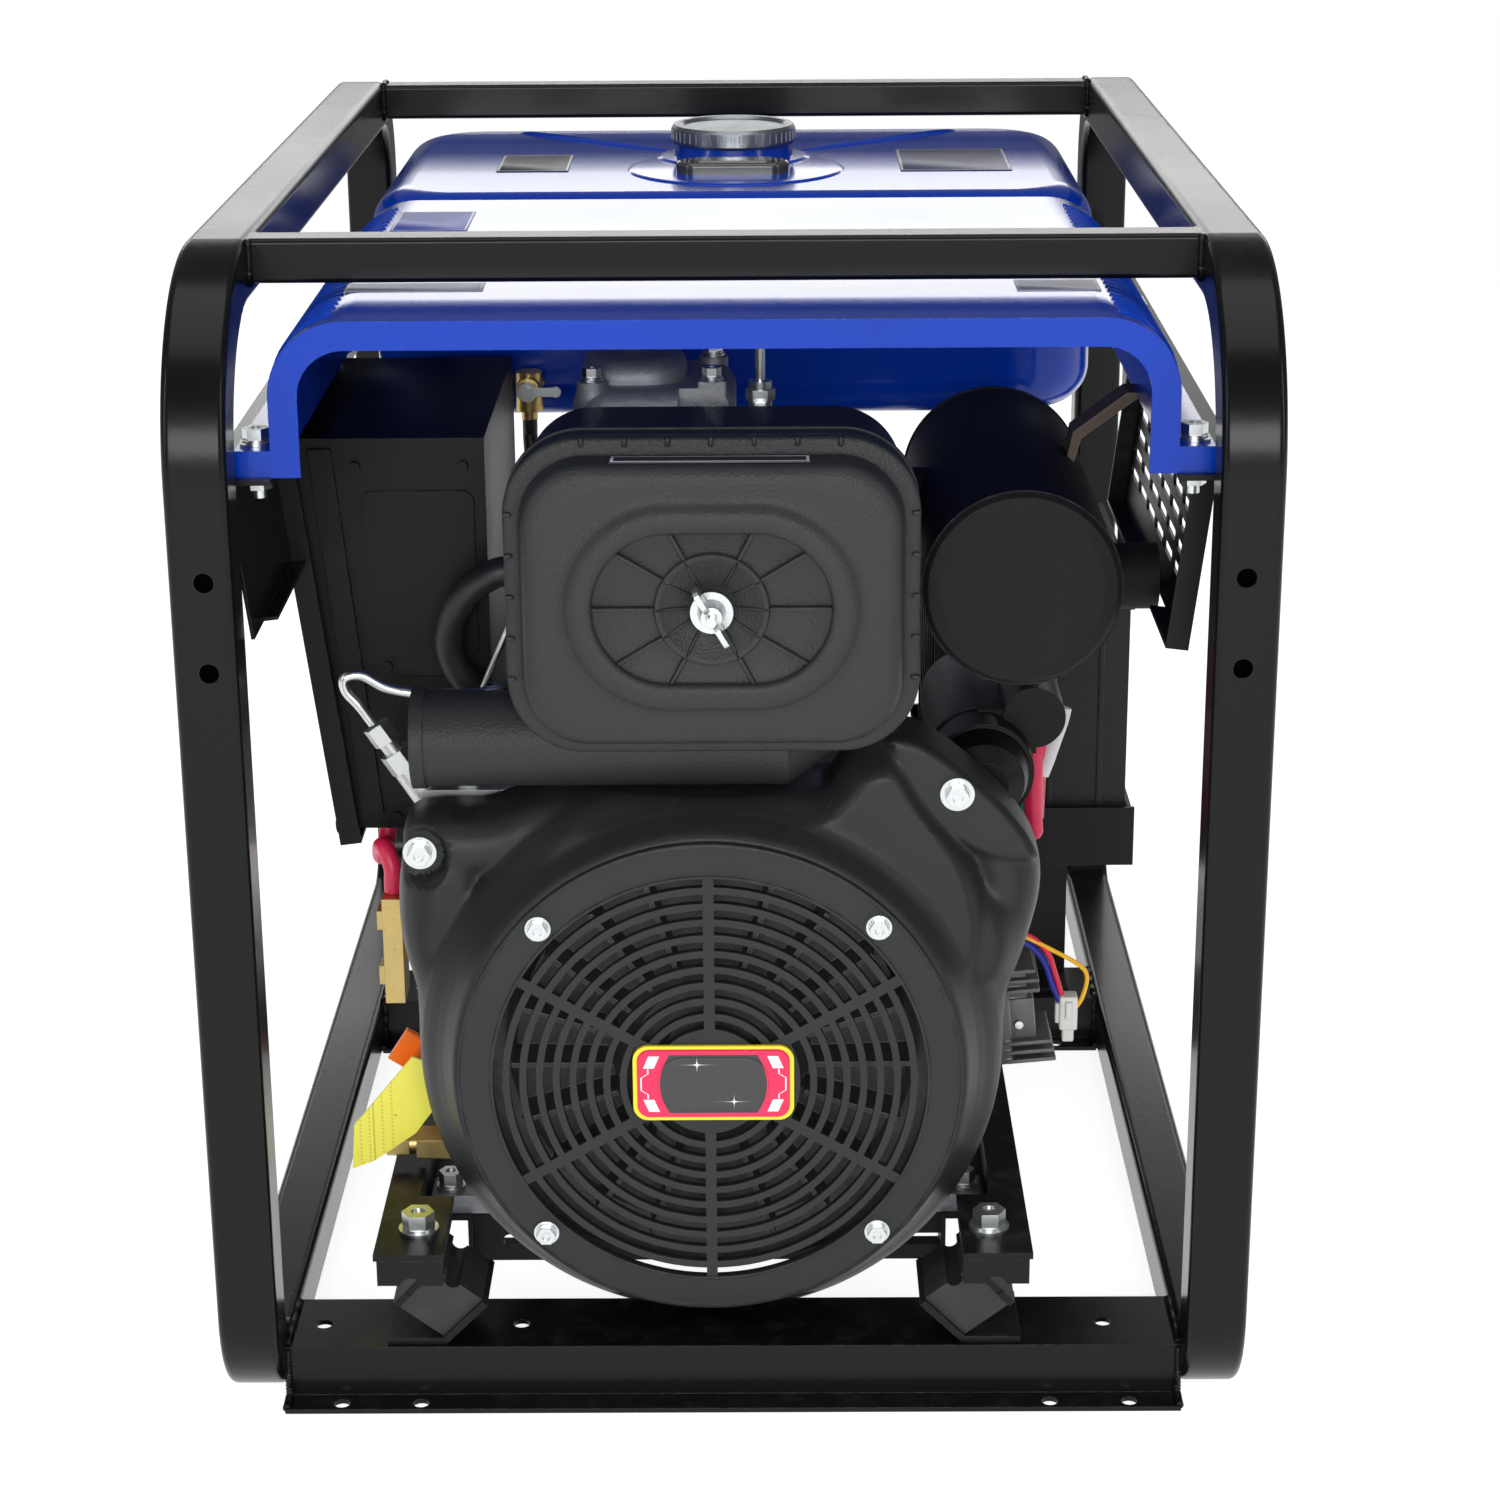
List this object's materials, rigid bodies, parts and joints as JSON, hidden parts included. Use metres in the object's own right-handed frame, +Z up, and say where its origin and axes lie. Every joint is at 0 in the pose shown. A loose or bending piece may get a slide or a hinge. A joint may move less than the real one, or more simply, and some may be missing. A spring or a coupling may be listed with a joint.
{
  "type": "portable generator",
  "caption": "Open-frame portable generator with an air-cooled engine and alternator on rubber mounts inside tube side loops, for power away from the mains.",
  "frame": {"origin": "middle of the footprint, on the floor", "axes": "+Z up, -Y towards the fan side at the front, +X to the right of someone facing the fan side"},
  "size_m": [0.6, 0.86, 0.68],
  "materials": {
    "frame_paint": "semi-gloss black enamel",
    "guard_paint": "satin black enamel",
    "bracket_paint": "black enamel",
    "blue_paint": "gloss blue enamel",
    "zinc_steel": "bright zinc plate",
    "rubber": "matt moulded rubber",
    "cast_alloy": "cast, grey",
    "cast_iron": "as cast, dark",
    "shroud_plastic": "moulded satin black",
    "badge": "printed, bare of lettering",
    "rotor_steel": "machined, varnished winding",
    "housing_alloy": "cast, grey",
    "cleaner_plastic": "grained moulding",
    "filter_paper": "pleated paper",
    "pump_steel": "machined",
    "pipe_steel": "bright tube",
    "starter_paint": "gloss black",
    "fin_alloy": "plain cast fins",
    "heat_paint": "matt heat paint",
    "heat_steel": "heat-stained",
    "chrome": "polished",
    "gauge_black": "gloss black",
    "brass": "machined",
    "red_plastic": "moulded",
    "hose_rubber": "smooth hose",
    "box_paint": "satin black",
    "socket_blue": "moulded",
    "battery_case": "ribbed case",
    "lead_red": "soft sleeve",
    "lead_yellow": "thin sleeve",
    "fitting_brass": "yellow zinc and brass",
    "orange_plastic": "moulded"
  },
  "bodies": {
    "generator": {"side_loop_left": "frame_paint", "side_loop_right": "frame_paint", "top_front_bar": "frame_paint", "top_rear_bar": "frame_paint", "front_crossmember": "frame_paint", "mid_crossmember": "frame_paint", "side_rail_left": "frame_paint", "muffler_guard": "guard_paint", "battery_tray": "guard_paint", "top_cover": "blue_paint", "frame_bolts": "zinc_steel", "mount_brackets": "bracket_paint", "mount_rubbers": "rubber", "engine_subframe": "bracket_paint", "crankcase": "cast_alloy", "cylinder_block": "cast_iron", "cylinder_head": "cast_alloy", "rocker_cover": "cast_alloy", "injector": "zinc_steel", "fan_shroud": "shroud_plastic", "fan_grille": "shroud_plastic", "grille_badge": "badge", "shroud_bolts": "zinc_steel", "stator_housing": "housing_alloy", "alternator_end": "housing_alloy", "air_cleaner_base": "cleaner_plastic", "air_cleaner_cover": "cleaner_plastic", "air_filter": "filter_paper", "cleaner_stud": "zinc_steel", "intake_elbow": "cast_alloy", "injection_pump": "pump_steel", "injection_pipe": "pipe_steel", "starter_motor": "starter_paint", "regulator": "fin_alloy", "muffler": "heat_paint", "exhaust_elbow": "heat_steel", "fuel_tank": "blue_paint", "fuel_gauge": "gauge_black", "fuel_cock": "brass", "hoses": "hose_rubber", "control_box": "box_paint", "control_panel": "box_paint", "panel_meter": "gauge_black", "breaker_body": "gauge_black", "socket_bodies": "socket_blue", "battery": "battery_case", "battery_leads": "lead_red", "signal_leads": "lead_yellow", "engine_fittings": "fitting_brass"},
    "crank_line": {"flywheel": "cast_iron", "rotor": "rotor_steel"},
    "wing_nut": {"wing_nut": "zinc_steel"},
    "fuel_cap": {"fuel_cap": "chrome"},
    "fuel_cock_lever": {"fuel_cock_lever": "zinc_steel"},
    "speed_lever": {"speed_lever": "zinc_steel"},
    "breaker_switch": {"breaker_switch": "red_plastic"},
    "start_key": {"start_key": "zinc_steel"},
    "socket_lid_front": {"socket_lid_front": "socket_blue"},
    "socket_lid_rear": {"socket_lid_rear": "socket_blue"},
    "dipstick": {"dipstick": "orange_plastic"}
  },
  "joints": [
    {"name": "crank_turn", "type": "hinge", "parent": "generator", "child": "crank_line", "pos_m": [-0.012, -0.13, 0.196], "axis": [0, 1, 0], "continuous": true},
    {"name": "wing_nut_turn", "type": "hinge", "parent": "generator", "child": "wing_nut", "pos_m": [-0.008, -0.394, 0.483], "axis": [0, -1, 0], "continuous": true},
    {"name": "fuel_cap_lift", "type": "slide", "parent": "generator", "child": "fuel_cap", "axis": [0, 0, 1], "range_m": [0, 0.06]},
    {"name": "fuel_cock_turn", "type": "hinge", "parent": "generator", "child": "fuel_cock_lever", "pos_m": [-0.136, 0.01, 0.522], "axis": [0, -1, 0], "range_deg": [-90, 0]},
    {"name": "speed_lever_turn", "type": "hinge", "parent": "generator", "child": "speed_lever", "pos_m": [-0.16, -0.268, 0.336], "axis": [0, 1, 0], "range_deg": [-20, 4]},
    {"name": "breaker_flip", "type": "hinge", "parent": "generator", "child": "breaker_switch", "pos_m": [-0.2647, -0.104, 0.49957], "axis": [0, 1, 0], "range_deg": [-40, 0]},
    {"name": "key_turn", "type": "hinge", "parent": "generator", "child": "start_key", "pos_m": [-0.27363, -0.034, 0.49847], "axis": [-0.9925, 0, -0.1219], "range_deg": [-90, 0]},
    {"name": "socket_lid_front_swing", "type": "hinge", "parent": "generator", "child": "socket_lid_front", "pos_m": [-0.26333, -0.13, 0.42115], "axis": [0, 1, 0], "range_deg": [0, 100]},
    {"name": "socket_lid_rear_swing", "type": "hinge", "parent": "generator", "child": "socket_lid_rear", "pos_m": [-0.26333, -0.044, 0.42115], "axis": [0, 1, 0], "range_deg": [0, 100]},
    {"name": "dipstick_pull", "type": "slide", "parent": "generator", "child": "dipstick", "axis": [-0.8387, 0, 0.5446], "range_m": [0, 0.09]}
  ]
}
